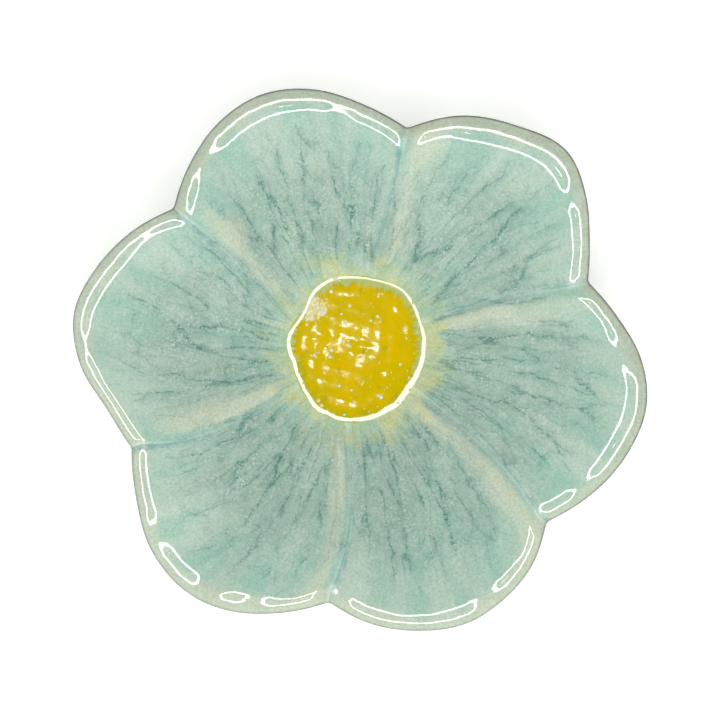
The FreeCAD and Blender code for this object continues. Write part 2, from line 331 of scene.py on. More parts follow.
    def slope_height(self, s: Rows, q: np.ndarray, depth: float) -> np.ndarray:
        """Height of the upper surface at q millimetres out from the edge of the well.

        Args:
            s: The section.
            q: Distance out from the edge of the well.
            depth: How far under the glaze.

        Returns:
            The height, without the ridge and creases.
        """
        ease = s["ease"] - depth
        tan = np.tan(s["slope"])
        curve = tan * np.clip(q + s["inner"], 0, None) ** 2 / (2 * (s["inner"] + s["outer"]))
        line = tan * ((s["inner"] + s["outer"]) / 2 + q - s["outer"])
        level = self.sizes.pool_height - depth / np.cos(s["slope"])
        z = level + np.where(q < s["outer"], curve, line)
        left = np.clip(s["length"] - q, 0, None)
        crown = s["height"] - depth - ease + np.sqrt(np.clip(ease ** 2 - left ** 2, 0, None))
        return np.where(left < ease * np.sin(s["slope"]), crown, z)

    def lap(self, index: int, u: np.ndarray, t: np.ndarray, radius: np.ndarray) -> Rows:
        """Millimetres from both seams, and the height of the ridge and creases.

        Args:
            index: Number of the petal.
            u: Share of the way across it.
            t: Share of the way from the well to the crest.
            radius: Distance from the middle.

        Returns:
            The attributes own, other and ridge, and the height.
        """
        sizes = self.sizes
        _, width = self.angle(index, u, t)
        across = np.radians(width) * radius
        own, other = (1 - u) * across, u * across
        strength = smooth(t / 0.16) * (0.75 + 0.25 * smooth(t / 0.5))
        fade = (self.petals[index].ridge_at_rim - 1) * smooth((t - 0.6) / 0.35)
        own_strength = strength * (1 + fade)
        top, tail, own_crease, other_crease = (
            root + more * t for root, more in (sizes.ridge_top, sizes.ridge_tail, sizes.own_crease,
                                               sizes.other_crease))
        ridge = np.where(own < top, np.sin(np.clip(own / top, 0, 1) * math.pi / 2) ** 2,
                         bell((own - top) / tail))
        creases = bell(own / own_crease) + bell(other / other_crease)
        height = own_strength * sizes.ridge * ridge - strength * sizes.crease * creases
        return {"own": own, "other": other, "height": height, "ridge": ridge * own_strength}

    @staticmethod
    def hand(x: np.ndarray, y: np.ndarray) -> np.ndarray:
        """The slight unevenness of a hand-pressed slab, about a tenth of a millimetre.

        Args:
            x: Places to the right of the middle.
            y: Places away from the middle.

        Returns:
            The height to add.
        """
        return (0.030 * np.sin(0.31 * x + 0.17 * y + 1.0)
                + 0.026 * np.sin(0.23 * y - 0.37 * x + 2.2)
                + 0.018 * np.sin(0.52 * x + 0.41 * y) + 0.010 * np.sin(0.83 * x - 0.71 * y + 0.7)
                + 0.006 * np.sin(1.6 * x + 1.1 * y + 1.9) * np.sin(1.3 * y - 0.9 * x))

    def upper(self, index: int, u: np.ndarray, t: np.ndarray, depth: float) -> Rows:
        """The upper surface from the well (t 0) to the crest (t 1), at a depth under the glaze.

        Args:
            index: Number of the petal.
            u: Share of the way across it.
            t: Share of the way up.
            depth: How far under the glaze.

        Returns:
            Points and attributes.
        """
        s = self.section(index, u)
        angle, _ = self.angle(index, u, t)
        q = t * s["length"]
        radius = s["well"] + q
        lap = self.lap(index, u, t, radius)
        x, y = radius * np.cos(np.radians(angle)), radius * np.sin(np.radians(angle))
        z = self.slope_height(s, q, depth) + lap["height"]
        z = z + self.hand(x, y) * smooth(t / 0.1)
        return {"x": x, "y": y, "z": z, "radius": radius, "from_well": q,
                "from_crest": s["length"] - q, "edge": 0 * q, **lap}

    def roll(self, index: int, u: np.ndarray, share: np.ndarray, depth: float) -> Rows:
        """The rim from the crest (share 0) round to its outermost line (share 1).

        Args:
            index: Number of the petal.
            u: Share of the way across it.
            share: Share of the way round.
            depth: How far under the glaze.

        Returns:
            Points and attributes.
        """
        s = self.section(index, u)
        one = np.ones_like(u)
        angle, _ = self.angle(index, u, one)
        turn = math.radians(self.sizes.rim_turn_degrees)
        past = 2 * share
        wide = past <= 1
        roll = np.where(wide, past * turn, turn + (past - 1) * (math.pi / 2 - turn))
        bend = np.where(wide, s["ease"], self.sizes.rim_corner) - depth
        radius = s["crest"] + np.where(wide, 0.0, s["corner_in"]) + bend * np.sin(roll)
        level = s["height"] - np.where(wide, s["ease"], s["corner_down"])
        lap = self.lap(index, u, one, radius)
        x, y = radius * np.cos(np.radians(angle)), radius * np.sin(np.radians(angle))
        z = level + bend * np.cos(roll) + (lap["height"] + self.hand(x, y)) * np.cos(roll)
        # edge is how much painted shade the tight outer corner of the roll takes.
        return {"x": x, "y": y, "z": z, "radius": radius, "from_well": radius - s["well"],
                "from_crest": s["crest"] - radius - 1.5 * smooth(past - 1),
                "edge": smooth((past - 1.05) / 0.60), **lap}

    def under(self, index: int, u: np.ndarray, share: np.ndarray, depth: float) -> Rows:
        """The underside from the rim's outermost line (share 0) in to the glaze stop (share 1).

        Args:
            index: Number of the petal.
            u: Share of the way across it.
            share: Share of the way in.
            depth: How far under the glaze.

        Returns:
            Points and attributes.
        """
        sizes, s = self.sizes, self.section(index, u)
        middle = s["outline"] - sizes.rim_under
        level = s["height"] - s["corner_down"] - s["rise"] * smooth(share)
        bend, skin = sizes.rim_under - sizes.coat, sizes.coat - depth
        slope = np.arctan2(level - bend - sizes.stop_height, middle - sizes.stop_radius)
        for _ in range(self.SOLVER_STEPS):
            slope = np.arctan2(level - bend * np.cos(slope) - sizes.stop_height,
                               middle + bend * np.sin(slope) - sizes.stop_radius)
        corner = 0.2
        turn = np.clip(share / corner, 0, 1) * (math.pi / 2 - slope)
        along = np.clip((share - corner) / (1 - corner), 0, 1)
        radius = middle + (bend + skin) * np.cos(turn)
        z = level - (bend + skin) * np.sin(turn)
        radius = radius + (sizes.stop_radius - radius) * along
        z = z + (sizes.stop_height - skin / np.cos(slope) - z) * along
        t = np.clip((radius - s["well"]) / s["length"], 0, 1)
        degrees, _ = self.angle(index, u, t)
        angle = np.radians(degrees - sizes.lap_degrees * 4 * t * (1 - t))
        lap = self.lap(index, u, np.ones_like(u), radius)
        # edge carries the painted shade of the rim's outer corner, fading a little way in under the
        # bowl.
        return {"x": radius * np.cos(angle), "y": radius * np.sin(angle), "z": z, "radius": radius,
                "from_well": radius - s["well"], "from_crest": -4.0 + 0 * u,
                "edge": 1 - smooth((share - 0.1) / 0.3), **lap}


def hermite(knots: np.ndarray, values: np.ndarray, at: np.ndarray) -> np.ndarray:
    """A smooth curve through (knot, value) points, evaluated at given places.

    Args:
        knots: Where the curve is known.
        values: What it is there.
        at: Where it is wanted.

    Returns:
        Its values there.
    """
    slopes = np.gradient(values, knots)
    i = np.clip(np.searchsorted(knots, at, side="right") - 1, 0, len(knots) - 2)
    h = knots[i + 1] - knots[i]
    t = (at - knots[i]) / h
    return ((2 * t ** 3 - 3 * t ** 2 + 1) * values[i] + (t ** 3 - 2 * t ** 2 + t) * h * slopes[i]
            + (3 * t ** 2 - 2 * t ** 3) * values[i + 1] + (t ** 3 - t ** 2) * h * slopes[i + 1])


def soften(ring: np.ndarray, reach: int) -> np.ndarray:
    """A closed ring of values, smoothed over so many samples each way.

    Args:
        ring: The values.
        reach: How many samples.

    Returns:
        The smoothed values.
    """
    offsets = np.arange(-2 * reach, 2 * reach + 1)
    weights = bell(offsets / reach)
    return sum(w * np.roll(ring, int(k)) for k, w in zip(offsets, weights)) / weights.sum()


# ------------------------------------------------------------------ meshes

SHARP_DEGREES = 50
ATTRIBUTES = ("from_well", "from_crest", "own", "other", "ridge", "bare", "outermost")


def edged(count: int, crowd: float) -> np.ndarray:
    """Stations from 0 to 1, crowded together at both ends."""
    s = np.linspace(0.0, 1.0, count)
    return s - crowd * np.sin(2 * math.pi * s) / (2 * math.pi)


def zipper(one: np.ndarray, other: np.ndarray) -> np.ndarray:
    """Triangles between two lines of vertex numbers that run the same way.

    Args:
        one: The first line.
        other: The second line.

    Returns:
        Three vertex numbers for each triangle.
    """
    triangles, i, j = [], 0, 0
    while i < len(one) - 1 or j < len(other) - 1:
        ahead = (i + 1) / max(1, len(one) - 1) <= (j + 1) / max(1, len(other) - 1)
        if j == len(other) - 1 or (ahead and i < len(one) - 1):
            triangles.append((one[i], one[i + 1], other[j]))
            i += 1
        else:
            triangles.append((one[i], other[j + 1], other[j]))
            j += 1
    return np.array(triangles)


def grid_quads(rows: int, columns: int, first: int, wrap: bool = False) -> np.ndarray:
    """Quads of a grid of vertices, whose numbers start at first.

    Args:
        rows: How many rows.
        columns: How many vertices in each.
        first: The first number.
        wrap: Whether each row closes on itself.

    Returns:
        Four vertex numbers for each quad.
    """
    r = np.arange(rows - 1)[:, None]
    c = np.arange(columns if wrap else columns - 1)[None, :]
    n = (c + 1) % columns
    corners = [r * columns + c, r * columns + n, (r + 1) * columns + n, (r + 1) * columns + c]
    return first + np.stack(np.broadcast_arrays(*corners), axis=-1).reshape(-1, 4)


def link_object(name: str, data: bpy.types.ID) -> bpy.types.Object:
    """A new object in the scene, round its data.

    Args:
        name: Name of the piece.
        data: Its mesh.

    Returns:
        The new object.
    """
    made = bpy.data.objects.new(name, data)
    bpy.context.scene.collection.objects.link(made)
    return made


def make_mesh(name: str, points: np.ndarray, quads: np.ndarray,
              triangles: np.ndarray) -> bpy.types.Object:
    """An object from points in millimetres, with its faces turned outwards.

    Args:
        name: Name of the object and its mesh.
        points: Array of (x, y, z).
        quads: Vertex numbers of the four-sided faces.
        triangles: Vertex numbers of the three-sided faces.

    Returns:
        The new object, linked to the scene, with smooth shading.
    """
    a, b, c = points[quads[:, 0]], points[quads[:, 1]], points[quads[:, 2]]
    d = points[quads[:, 3]]
    volume = np.einsum("ij,ij->", a, np.cross(b, c)) + np.einsum("ij,ij->", a, np.cross(c, d))
    if len(triangles):
        e, f, g = (points[triangles[:, k]] for k in range(3))
        volume += np.einsum("ij,ij->", e, np.cross(f, g))
    if volume < 0:
        quads, triangles = quads[:, ::-1], triangles[:, ::-1]
    mesh = bpy.data.meshes.new(name)
    mesh.vertices.add(len(points))
    mesh.vertices.foreach_set("co", (points * MM).astype(np.float32).ravel())
    loops = np.concatenate([quads.ravel(), triangles.ravel()]).astype(np.int32)
    starts = np.concatenate([np.arange(len(quads)) * 4,
                             len(quads) * 4 + np.arange(len(triangles)) * 3])
    mesh.loops.add(len(loops))
    mesh.loops.foreach_set("vertex_index", loops)
    mesh.polygons.add(len(starts))
    mesh.polygons.foreach_set("loop_start", starts.astype(np.int32))
    mesh.update(calc_edges=True)
    mesh.validate()
    mesh.polygons.foreach_set("use_smooth", np.ones(len(mesh.polygons), dtype=bool))
    mesh.set_sharp_from_angle(angle=math.radians(SHARP_DEGREES))
    return link_object(name, mesh)


def add_attribute(made: bpy.types.Object, name: str, values: np.ndarray) -> None:
    """Stores one number, or one vector, for each vertex.

    Args:
        made: The mesh object.
        name: Name of the attribute.
        values: A row for each vertex.
    """
    kind, field = ("FLOAT_VECTOR", "vector") if values.ndim == 2 else ("FLOAT", "value")
    layer = made.data.attributes.new(name, kind, "POINT")
    layer.data.foreach_set(field, values.astype(np.float32).ravel())


class PetalSheets:
    """The upper and lower sheets of one petal's clay or glaze, joined into a closed mesh."""

    THIN_AT_DEGREES = 238.0

    def __init__(self, bowl: Bowl, index: int, columns: int) -> None:
        """Sets out the columns.

        Args:
            bowl: The surfaces.
            index: Number of the petal.
            columns: How many vertices across it.
        """
        self.bowl = bowl
        self.index = index
        self.u = edged(columns, 0.55)

    def rows(self, surface: Callable[..., Rows], stations: np.ndarray,
             depth: float) -> Rows:
        """One of the bowl's surfaces at every row and column."""
        u, t = np.meshgrid(self.u, stations)
        return surface(self.index, u, t, depth)

    @staticmethod
    def stack(*blocks: Rows) -> Rows:
        """Several blocks of rows as one."""
        return {key: np.concatenate([block[key] for block in blocks]) for key in blocks[0]}

    def close(self, name: str, upper: Rows,
              lower: Rows) -> bpy.types.Object:
        """A closed mesh between two sheets whose rows run the same way.

        Args:
            name: Name of the piece.
            upper: Rows of the outer sheet.
            lower: Rows of the inner sheet.

        Returns:
            The piece, with the attributes that its finish reads.
        """
        columns = len(self.u)
        both = {key: np.concatenate([upper[key].ravel(), lower[key].ravel()]) for key in upper}
        high, low = len(upper["x"]), len(lower["x"])
        over = np.arange(high * columns).reshape(high, columns)
        below = high * columns + np.arange(low * columns).reshape(low, columns)
        quads = [grid_quads(high, columns, 0), grid_quads(low, columns, high * columns)[:, ::-1]]
        for a, b, flip in ((over[0], below[0], -1), (over[-1], below[-1], 1)):
            quads.append(np.stack([a[:-1], a[1:], b[1:], b[:-1]], axis=1)[:, ::flip])
        caps = np.concatenate([zipper(over[:, 0], below[:, 0]),
                               zipper(over[:, -1], below[:, -1])[:, ::-1]])
        points = np.stack([both["x"], both["y"], both["z"]], axis=1)
        # The glaze is thin further in at the lower left, where it ran off the rim.
        lower_left = np.cos(np.arctan2(both["y"], both["x"]) - math.radians(self.THIN_AT_DEGREES))
        both["bare"] = both["from_crest"] - 1.3 * smooth(lower_left + 0.3)
        # Painted shade on the outer roll of the rim and a little way inside it: strongest at the
        # right and top, faint at the lower left.
        shaded_side = 1 - smooth(lower_left + 0.4)
        both["outermost"] = np.maximum(both["edge"] * (0.35 + 0.50 * shaded_side),
                                       0.17 * shaded_side * smooth(-both["from_crest"] / 2.4))
        made = make_mesh(name, points, np.concatenate(quads), caps)
        for key in ATTRIBUTES:
            add_attribute(made, key, both[key])
        u = np.concatenate([np.tile(self.u, high), np.tile(self.u, low)])
        # Each petal has a stretch of the pattern to itself: 60 degrees of every hundred.
        flow = np.stack([u * 60.0 + self.index * 100.0, both["radius"], 0 * u], axis=1)
        add_attribute(made, "flow", flow)
        return made


# ------------------------------------------------------------------ shader graphs

def rgb(red: int, green: int, blue: int) -> Colour:
    """A display colour, 0 to 255, as linear light."""
    shares = [value / 255 for value in (red, green, blue)]
    return (*(s / 12.92 if s <= 0.04045 else ((s + 0.055) / 1.055) ** 2.4 for s in shares), 1.0)


class Graph:
    """Short names for the nodes of one tree. Any input may be a socket or a plain value."""

    def __init__(self, tree: bpy.types.NodeTree) -> None:
        """Works on one tree."""
        self.tree = tree

    def fill(self, socket: Socket, value: object) -> None:
        """Links a socket to another, or sets its plain value.

        Args:
            socket: The input.
            value: Another socket, a number, a colour or a vector.
        """
        if isinstance(value, Socket):
            self.tree.links.new(value, socket)
        else:
            socket.default_value = value

    def node(self, kind: str, inputs: dict[str | int, object],
             **settings: object) -> bpy.types.Node:
        """Adds a node.

        Args:
            kind: Its type, such as "ShaderNodeMath".
            inputs: Name or number of a socket, to what goes into it.
            settings: Its properties, which are set first.

        Returns:
            The node.
        """
        made = self.tree.nodes.new(kind)
        for key, value in settings.items():
            setattr(made, key, value)
        for key, value in inputs.items():
            self.fill(made.inputs[key], value)
        return made

    def attribute(self, name: str, output: str = "Fac") -> Socket:
        """A value that the mesh carries at each vertex."""
        return self.node("ShaderNodeAttribute", {}, attribute_name=name).outputs[output]

    def math(self, operation: str, a: Value, b: Value = 0.0) -> Socket:
        """One operation on two numbers."""
        return self.node("ShaderNodeMath", {0: a, 1: b}, operation=operation).outputs[0]

    def times(self, first: Value, *others: Value) -> Value:
        """The product of several numbers.

        Args:
            first: The first number.
            others: The rest.

        Returns:
            The product.
        """
        for other in others:
            first = self.math("MULTIPLY", first, other)
        return first

    def plus(self, a: Value, b: Value) -> Socket:
        """The sum of two numbers."""
        return self.math("ADD", a, b)

    def scale(self, vector: Triple, by: Triple) -> Socket:
        """A vector multiplied by another, axis by axis."""
        inputs = {0: vector, 1: by}
        return self.node("ShaderNodeVectorMath", inputs, operation="MULTIPLY").outputs[0]

    def add(self, a: Triple, b: Triple) -> Socket:
        """The sum of two vectors."""
        return self.node("ShaderNodeVectorMath", {0: a, 1: b}, operation="ADD").outputs[0]

    def noise(self, vector: Triple, scale: float, detail: float = 2.0, rough: float = 0.5,
              output: str = "Fac") -> Socket:
        """Smooth noise round 0.5."""
        inputs = {"Vector": vector, "Scale": scale, "Detail": detail, "Roughness": rough}
        return self.node("ShaderNodeTexNoise", inputs).outputs[output]

    def fall(self, value: Value, low: Value, high: Value, out: tuple[Value, Value] = (0.0, 1.0),
             kind: str = "SMOOTHSTEP") -> Socket:
        """Maps low..high to out, held at both ends."""
        inputs = {"Value": value, "From Min": low, "From Max": high,
                  "To Min": out[0], "To Max": out[1]}
        return self.node("ShaderNodeMapRange", inputs, interpolation_type=kind).outputs["Result"]

    def cloud(self, vector: Triple, scale: float, detail: float, rough: float, low: float,
              high: float, out: tuple[Value, Value] = (0.0, 1.0)) -> Socket:
        """Noise whose range low..high is spread over out."""
        return self.fall(self.noise(vector, scale, detail, rough), low, high, out)

    def spread(self, share: Value, low: float, high: float) -> Socket:
        """A share of 0 to 1 turned evenly into low..high."""
        return self.fall(share, 0.0, 1.0, (low, high), "LINEAR")

    def mix(self, share: Value, a: Socket | Colour, b: Socket | Colour) -> Socket:
        """Colour b laid over colour a by a share.

        Args:
            share: How much of b shows, 0 to 1.
            a: The colour underneath.
            b: The colour on top.

        Returns:
            The mixed colour.
        """
        made = self.node("ShaderNodeMix", {}, data_type="RGBA")
        for key, value in (("Factor_Float", share), ("A_Color", a), ("B_Color", b)):
            self.fill(next(s for s in made.inputs if s.identifier == key), value)
        return next(s for s in made.outputs if s.identifier == "Result_Color")


def new_group(name: str, inputs: dict[str, str],
              outputs: dict[str, str]) -> tuple[Graph, bpy.types.Node, bpy.types.Node]:
    """An empty shader group with named sockets.

    Args:
        name: Name of the group.
        inputs: Socket name to kind, such as "Float" or "Vector".
        outputs: The same for what it gives.

    Returns:
        The group's Graph, its input node and its output node.
    """
    tree = bpy.data.node_groups.new(name, "ShaderNodeTree")
    for sockets, way in ((inputs, "INPUT"), (outputs, "OUTPUT")):
        for key, kind in sockets.items():
            tree.interface.new_socket(key, in_out=way, socket_type="NodeSocket" + kind)
    return Graph(tree), tree.nodes.new("NodeGroupInput"), tree.nodes.new("NodeGroupOutput")


def vein_group() -> bpy.types.NodeTree:
    """Jagged branching lines of pooled glaze that run out along a petal, and the wash beside them.

    Flow is (degrees across, millimetres from the middle of the well). Spacing is in degrees, and
    the rest in millimetres.

    Returns:
        The group.
    """
    names = ("Spacing", "Length", "Width", "Wash", "Shift")
    g, given, out = new_group("glaze_veins", {"Flow": "Vector", **dict.fromkeys(names, "Float")},
                              {"Veins": "Float", "Wash": "Float"})
    flow, spacing, length, width, wash, move = (given.outputs[key] for key in ("Flow", *names))
    shift = g.node("ShaderNodeCombineXYZ", {"X": move, "Z": move}).outputs[0]

    # The cells' edges wander at three scales, from slow bends to fine jags: (frequency, reach).
    place = g.add(flow, shift)
    for frequency, reach in (((0.10, 0.07, 1.0), (9.0, 7.0, 0.0)),
                             ((0.50, 0.42, 1.0), (2.6, 2.6, 0.0)),
                             ((2.1, 1.8, 1.0), (1.5, 1.4, 0.0))):
        wander = g.noise(g.add(g.scale(flow, frequency), shift), 1.0, 2.0, 0.5, "Color")
        place = g.add(place, g.scale(g.add(wander, (-0.5, -0.5, -0.5)), reach))
    split = g.node("ShaderNodeSeparateXYZ", {"Vector": place}).outputs
    cell = g.node("ShaderNodeCombineXYZ", {"X": g.math("DIVIDE", split["X"], spacing),
                                           "Y": g.math("DIVIDE", split["Y"], length)}).outputs[0]
    edge = g.node("ShaderNodeTexVoronoi", {"Vector": cell, "Scale": 1.0, "Randomness": 1.0},
                  feature="DISTANCE_TO_EDGE", voronoi_dimensions="2D").outputs["Distance"]
    radius = g.node("ShaderNodeSeparateXYZ", {"Vector": flow}).outputs["Y"]
    away = g.times(g.times(edge, spacing), g.math("DIVIDE", radius, DEGREES_PER_RADIAN))
    broken = g.cloud(g.add(g.scale(flow, (0.22, 0.10, 1.0)), shift), 1.0, 3.0, 0.6, 0.38, 0.56)
    grain = g.cloud(g.scale(flow, (1.6, 1.8, 1.0)), 1.0, 2.0, 0.7, 0.25, 0.60)
    thin, soft = (g.fall(away, 0.0, reach, (1.0, 0.0)) for reach in (width, wash))
    g.fill(out.inputs["Veins"], g.times(thin, broken, grain))
    g.fill(out.inputs["Wash"], g.times(soft, broken))
    return g.tree


def grain_group() -> bpy.types.NodeTree:
    """Fine granular speckle, soft clouds and orange peel, from an object-space vector in metres.

    Returns:
        The group.
    """
    g, given, out = new_group("glaze_grain", {"Vector": "Vector"},
                              {"Speckle": "Float", "Clouds": "Float", "Peel": "Float"})
    at = given.outputs["Vector"]
    g.fill(out.inputs["Speckle"], g.cloud(at, 1900.0, 2.0, 0.65, 0.30, 0.70))
    g.fill(out.inputs["Clouds"], g.cloud(at, 70.0, 3.0, 0.55, 0.32, 0.68))
    g.fill(out.inputs["Peel"], g.noise(at, 620.0, 2.0, 0.5))
    return g.tree


# ------------------------------------------------------------------ finishes

def new_material(name: str) -> tuple[bpy.types.Material, Graph, bpy.types.Node, Socket]:
    """A material with one Principled shader.

    Args:
        name: Name of the material.

    Returns:
        The material, its Graph, its shader, and the object-space place on the surface in metres.
    """
    material = bpy.data.materials.new(name)
    material.use_nodes = True
    g = Graph(material.node_tree)
    place = g.node("ShaderNodeTexCoord", {}).outputs["Object"]
    return material, g, material.node_tree.nodes["Principled BSDF"], place


def make_glassy(shader: bpy.types.Node) -> None:
    """Gives a shader the strong gloss of thick glaze."""
    shader.inputs["IOR"].default_value = 1.62
    shader.inputs["Specular IOR Level"].default_value = 0.75


@dataclass(frozen=True)
class Guides:
    """What steers the patterns of the petals' glaze over the surface."""

    g: Graph
    place: Socket
    flow: Socket
    out: Socket
    crest: Socket
    speckle: Socket
    clouds: Socket
    middle: Socket
    seam: Socket


@dataclass(frozen=True)
class PetalGlaze:
    """Aqua glaze that pools teal in veins and creases, and breaks cream over ridges and the rim."""

    veins: bpy.types.NodeTree
    grain: bpy.types.NodeTree
    name: str = "aqua_glaze"
    aqua: Colour = rgb(162, 201, 184)
    pale: Colour = rgb(190, 212, 196)
    grey: Colour = rgb(152, 178, 164)
    teal: Colour = rgb(66, 128, 118)
    thin_teal: Colour = rgb(72, 137, 132)
    blue: Colour = rgb(100, 156, 156)
    cream: Colour = rgb(216, 221, 194)
    light: Colour = rgb(206, 222, 208)
    rim: Colour = rgb(200, 209, 186)
    halo: Colour = rgb(188, 198, 112)
    blotch: Colour = rgb(214, 212, 146)
    # edge is the colour of the painted shade on the outer roll of the rim.
    edge: Colour = rgb(84, 84, 72)
    iron: Colour = rgb(96, 84, 62)
    gloss: float = 0.07
    matt: float = 0.42

    def ground(self, by: Guides) -> Socket:
        """Broad pale bands that run out along each petal, greyer in the middle of the slope.

        Args:
            by: What steers the patterns.

        Returns:
            The colour.
        """
        g = by.g
        bands = g.cloud(g.scale(by.flow, (0.13, 0.030, 1.0)), 1.0, 2.0, 0.55, 0.36, 0.66)
        colour = g.mix(bands, self.aqua, self.pale)
        return g.mix(g.times(by.middle, g.spread(by.clouds, 0.34, 0.80)), colour, self.grey)

    def veined(self, by: Guides, colour: Socket) -> Socket:
        """Adds bold and fine veins, which fade out towards the rim.

        Args:
            by: What steers the patterns.
            colour: The colour so far.

        Returns:
            The colour with veins.
        """
        g = by.g
        fade = g.times(g.fall(by.crest, 1.0, 12.0), g.fall(by.out, 0.5, 6.0, (0.30, 1.0)))
        names = ("Spacing", "Length", "Width", "Wash", "Shift")
        bold, fine = (
            g.node("ShaderNodeGroup", {"Flow": by.flow, **dict(zip(names, values))},
                   node_tree=self.veins).outputs
            for values in ((7.0, 30.0, 0.27, 1.6, 5.0), (3.6, 10.0, 0.17, 0.8, 21.0)))
        ink = g.mix(g.fall(by.crest, 8.0, 26.0), self.thin_teal, self.teal)
        for mask, strength in ((bold["Wash"], 0.19), (fine["Wash"], 0.09), (fine["Veins"], 0.42),
                               (bold["Veins"], 0.92)):
            colour = g.mix(g.times(mask, fade, strength), colour, ink)
        return colour

    def lapped(self, by: Guides, colour: Socket) -> tuple[Socket, Socket]:
        """Breaks cream over the lapped edge, and pools blue in the crease beside it.

        Args:
            by: What steers the patterns.
            colour: The colour so far.

        Returns:
            The colour with ridge and crease, and the mask of the ridge.
        """
        g = by.g
        patches = g.cloud(g.scale(by.flow, (0.10, 0.07, 1.0)), 1.0, 2.0, 0.5, 0.35, 0.65,
                          (-0.30, 0.20))
        ridge = g.plus(g.attribute("ridge"), g.plus(patches, g.times(by.clouds, 0.25)))
        ridge = g.fall(ridge, 0.32, 1.20)
        colour = g.mix(g.times(ridge, 0.60), colour, self.cream)
        crease = g.fall(by.seam, 0.1, g.fall(by.crest, 12.0, 2.0, (0.8, 1.7)), (1.0, 0.0))
        outer = g.fall(by.crest, 30.0, 0.0, (0.26, 0.70))
        return g.mix(g.times(crease, outer), colour, self.blue), ridge

    def rimmed(self, by: Guides, colour: Socket) -> Socket:
        """Thins the glaze over the rim, but not in the creases.

        Args:
            by: What steers the patterns.
            colour: The colour so far.

        Returns:
            The new colour.
        """
        g = by.g
        rim = g.fall(g.plus(g.attribute("bare"), g.times(by.clouds, 1.6)), -1.2, 2.2, (1.0, 0.0))
        keep = g.fall(by.seam, -0.2, 2.0, (0.10, 1.0))
        return g.mix(g.times(rim, keep, 0.80), colour, self.rim)

    def haloed(self, by: Guides, colour: Socket, ridge: Socket) -> Socket:
        """Lets yellow bleed a little way out of the well, in blotches where the ridges start.

        Args:
            by: What steers the patterns.
            colour: The colour so far.
            ridge: The mask of the ridge.

        Returns:
            The colour with its halo.
        """
        g = by.g
        reach = g.plus(by.out, g.cloud(by.place, 150.0, 5.0, 0.65, 0.3, 0.7, (-3.4, 3.4)))
        mottle = g.cloud(by.place, 700.0, 4.0, 0.7, 0.34, 0.62)
        halo = g.times(g.fall(reach, 0.0, 7.0, (0.72, 0.0)), g.plus(g.times(mottle, 0.50), 0.22))
        colour = g.mix(halo, colour, self.halo)
        roots = g.fall(g.math("SUBTRACT", reach, g.times(ridge, 4.0)), 1.0, 6.0, (0.55, 0.0))
        roots = g.times(roots, g.cloud(by.place, 110.0, 2.0, 0.5, 0.46, 0.62))
        return g.mix(roots, colour, self.blotch)

    def speckled(self, by: Guides, colour: Socket) -> Socket:
        """Adds rare iron specks, painted shade along the outer roll of the rim, and fine speckle
        all over.

        Args:
            by: What steers the patterns.
            colour: The colour so far.

        Returns:
            The finished colour.
        """
        g = by.g
        iron = g.node("ShaderNodeTexVoronoi", {"Vector": by.place, "Scale": 62.0})
        iron = g.fall(iron.outputs["Distance"], 0.014, 0.026, (0.8, 0.0))
        rare = g.cloud(g.add(by.place, (0.07, 0.0, 0.0)), 45.0, 0.0, 0.5, 0.62, 0.64)
        colour = g.mix(g.times(iron, rare), colour, self.iron)
        # Painted shade: the outer roll of the rim is darkened, more at the right and top.
        line = g.times(g.attribute("outermost"), g.spread(by.clouds, 0.8, 1.0))
        colour = g.mix(line, colour, self.edge)
        clumps = g.cloud(g.add(by.place, (0.0, 0.04, 0.0)), 420.0, 3.0, 0.62, 0.34, 0.66)
        colour = g.mix(g.times(clumps, clumps, 0.26), colour, self.light)
        specks = g.cloud(g.add(by.place, (0.02, 0.0, 0.0)), 1700.0, 1.0, 0.5, 0.56, 0.68)
        where = g.cloud(g.scale(by.flow, (0.20, 0.09, 1.0)), 1.0, 2.0, 0.5, 0.40, 0.60)
        colour = g.mix(g.times(specks, where, by.middle, 0.55), colour, self.light)
        return g.scale(colour, g.spread(by.speckle, 0.86, 1.05))

    def build(self) -> bpy.types.Material:
        """Makes the material.

        Returns:
            The material.
        """
        material, g, shader, place = new_material(self.name)
        grain = g.node("ShaderNodeGroup", {"Vector": place}, node_tree=self.grain).outputs
        out, crest, other = (g.attribute(name) for name in ("from_well", "from_crest", "other"))
        middle = g.times(g.fall(crest, 3.0, 18.0), g.fall(out, 1.0, 8.0))
        seam = g.plus(other, g.cloud(place, 520.0, 3.0, 0.65, 0.3, 0.7, (-0.45, 0.45)))
        by = Guides(g, place, g.attribute("flow", "Vector"), out, crest, grain["Speckle"],
                    grain["Clouds"], middle, seam)
        colour, ridge = self.lapped(by, self.veined(by, self.ground(by)))
        colour = self.haloed(by, self.rimmed(by, colour), ridge)
        g.fill(shader.inputs["Base Color"], self.speckled(by, colour))

        bump = g.node("ShaderNodeBump", {"Height": grain["Peel"], "Strength": 0.06,
                                         "Distance": 0.00025})
        g.fill(shader.inputs["Normal"], bump.outputs["Normal"])
        # The glaze is matt where it has run thin into the crease.
        nearest = g.math("MINIMUM", g.attribute("own"), other)
        g.fill(shader.inputs["Roughness"], g.fall(nearest, 0.35, 1.15, (self.matt, self.gloss)))
        make_glassy(shader)
        return material


